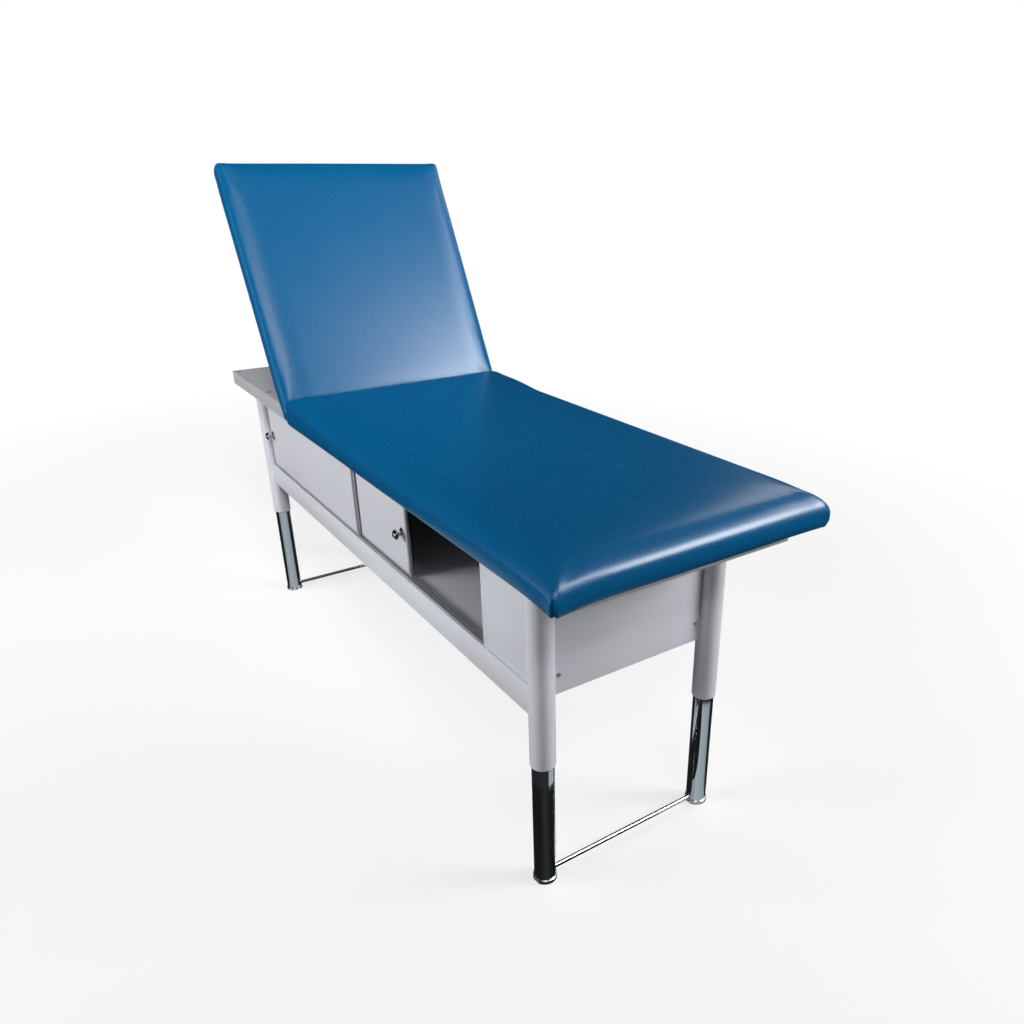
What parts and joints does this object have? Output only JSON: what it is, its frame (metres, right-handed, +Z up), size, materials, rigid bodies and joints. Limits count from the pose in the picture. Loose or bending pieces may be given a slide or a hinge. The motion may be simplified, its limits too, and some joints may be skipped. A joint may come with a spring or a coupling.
{
  "type": "electric treatment table",
  "caption": "Padded treatment table with a hinged raised back, telescopic chromed legs and a storage cabinet with sliding doors under the top.",
  "frame": {"origin": "on the floor, at the middle of the bounding box", "axes": "+X towards the foot end, -Y out of the door side, +Z up"},
  "size_m": [1.9154, 0.6096, 1.3187],
  "materials": {
    "vinyl": "satin",
    "board": "matte",
    "white_coat": "satin",
    "dark_coat": "matte",
    "chrome": "polished",
    "aluminium": "satin",
    "steel": "satin",
    "bronze": "satin",
    "belt_rubber": "matte",
    "dark_plastic": "matte"
  },
  "bodies": {
    "frame": {"deck": "white_coat", "deck_bearers": "steel", "frame_screws": "steel", "front_rail": "white_coat", "rear_rail": "white_coat", "cross_members": "white_coat", "head_end_panel": "white_coat", "foot_end_panel": "white_coat", "front_apron": "white_coat", "rear_apron": "white_coat", "cabinet_floor": "white_coat", "drive_partition": "dark_coat", "front_fixed_panel": "white_coat", "rear_panel": "white_coat", "lower_track": "aluminium", "upper_track": "aluminium", "guide_bushes": "dark_plastic", "screw_bearings": "steel", "seat_board": "board", "seat_cushion": "vinyl", "hinge_brackets": "steel", "anchor_bracket": "steel", "pivot_pins": "steel", "sync_belt": "belt_rubber", "drive_belt": "belt_rubber", "lift_motor": "dark_coat", "control_box": "dark_plastic", "power_inlet": "dark_plastic", "leg_sleeve_head_front": "white_coat", "leg_sleeve_head_rear": "white_coat", "leg_sleeve_foot_front": "white_coat", "leg_sleeve_foot_rear": "white_coat"},
    "head_legs": {"head_inner_legs": "chrome", "head_foot_caps": "chrome", "head_crossbar": "chrome", "head_lift_nuts": "bronze"},
    "foot_legs": {"foot_inner_legs": "chrome", "foot_foot_caps": "chrome", "foot_crossbar": "chrome", "foot_lift_nuts": "bronze"},
    "back": {"back_cushion": "vinyl", "back_board": "board", "back_brackets": "steel", "lug_pin": "steel"},
    "actuator": {"actuator_housing": "dark_plastic", "actuator_motor": "dark_coat", "actuator_tube": "aluminium"},
    "actuator_ram": {"actuator_rod": "chrome"},
    "door_one_body": {"door_one": "white_coat", "door_one_strips": "aluminium", "door_one_knob": "chrome"},
    "door_two_body": {"door_two": "white_coat", "door_two_strips": "aluminium", "door_two_knob": "chrome"},
    "motor_drive": {"motor_pulley": "steel"},
    "screw_head_front": {"lead_screw_head_front": "steel"},
    "screw_head_rear": {"lead_screw_head_rear": "steel"},
    "screw_foot_front": {"lead_screw_foot_front": "steel"},
    "screw_foot_rear": {"lead_screw_foot_rear": "steel"}
  },
  "joints": [
    {"name": "lift", "type": "slide", "parent": "frame", "child": "head_legs", "axis": [0, 0, 1], "range_m": [0, 0.25]},
    {"name": "foot_lift", "type": "slide", "parent": "frame", "child": "foot_legs", "axis": [0, 0, 1], "range_m": [0, 0.25]},
    {"name": "back_tilt", "type": "hinge", "parent": "frame", "child": "back", "pos_m": [-0.279, 0, 0.7575], "axis": [0, 1, 0], "range_deg": [-62.4, 12.6]},
    {"name": "actuator_swing", "type": "hinge", "parent": "frame", "child": "actuator", "pos_m": [-0.23532, 0.11, 0.52151], "axis": [0, 1, 0], "range_deg": [-31.2, 6.3]},
    {"name": "ram_swing", "type": "hinge", "parent": "back", "child": "actuator_ram", "pos_m": [-0.4576, 0.11, 0.91782], "axis": [0, 1, 0], "range_deg": [-6.3, 31.2]},
    {"name": "door_one_slide", "type": "slide", "parent": "frame", "child": "door_one_body", "axis": [1, 0, 0], "range_m": [0, 0.24]},
    {"name": "door_two_slide", "type": "slide", "parent": "frame", "child": "door_two_body", "axis": [1, 0, 0], "range_m": [0, 0.351]},
    {"name": "motor_spin", "type": "hinge", "parent": "frame", "child": "motor_drive", "pos_m": [0.7053, 0.1, 0.684], "axis": [0, 0, 1], "continuous": true},
    {"name": "screw_spin_head_front", "type": "hinge", "parent": "frame", "child": "screw_head_front", "pos_m": [-0.8134, -0.2053, 0.684], "axis": [0, 0, 1], "continuous": true},
    {"name": "screw_spin_head_rear", "type": "hinge", "parent": "frame", "child": "screw_head_rear", "pos_m": [-0.8134, 0.2053, 0.684], "axis": [0, 0, 1], "continuous": true},
    {"name": "screw_spin_foot_front", "type": "hinge", "parent": "frame", "child": "screw_foot_front", "pos_m": [0.7653, -0.2053, 0.684], "axis": [0, 0, 1], "continuous": true},
    {"name": "screw_spin_foot_rear", "type": "hinge", "parent": "frame", "child": "screw_foot_rear", "pos_m": [0.7653, 0.2053, 0.684], "axis": [0, 0, 1], "continuous": true}
  ],
  "couplings": [
    {"joint": "foot_lift", "follows": "lift", "ratio": 1},
    {"joint": "actuator_swing", "follows": "back_tilt", "ratio": 0.5},
    {"joint": "ram_swing", "follows": "back_tilt", "ratio": -0.5},
    {"joint": "motor_spin", "follows": "lift", "rad_per_m": -785.4},
    {"joint": "screw_spin_head_front", "follows": "lift", "rad_per_m": -785.4},
    {"joint": "screw_spin_head_rear", "follows": "lift", "rad_per_m": -785.4},
    {"joint": "screw_spin_foot_front", "follows": "lift", "rad_per_m": -785.4},
    {"joint": "screw_spin_foot_rear", "follows": "lift", "rad_per_m": -785.4}
  ]
}
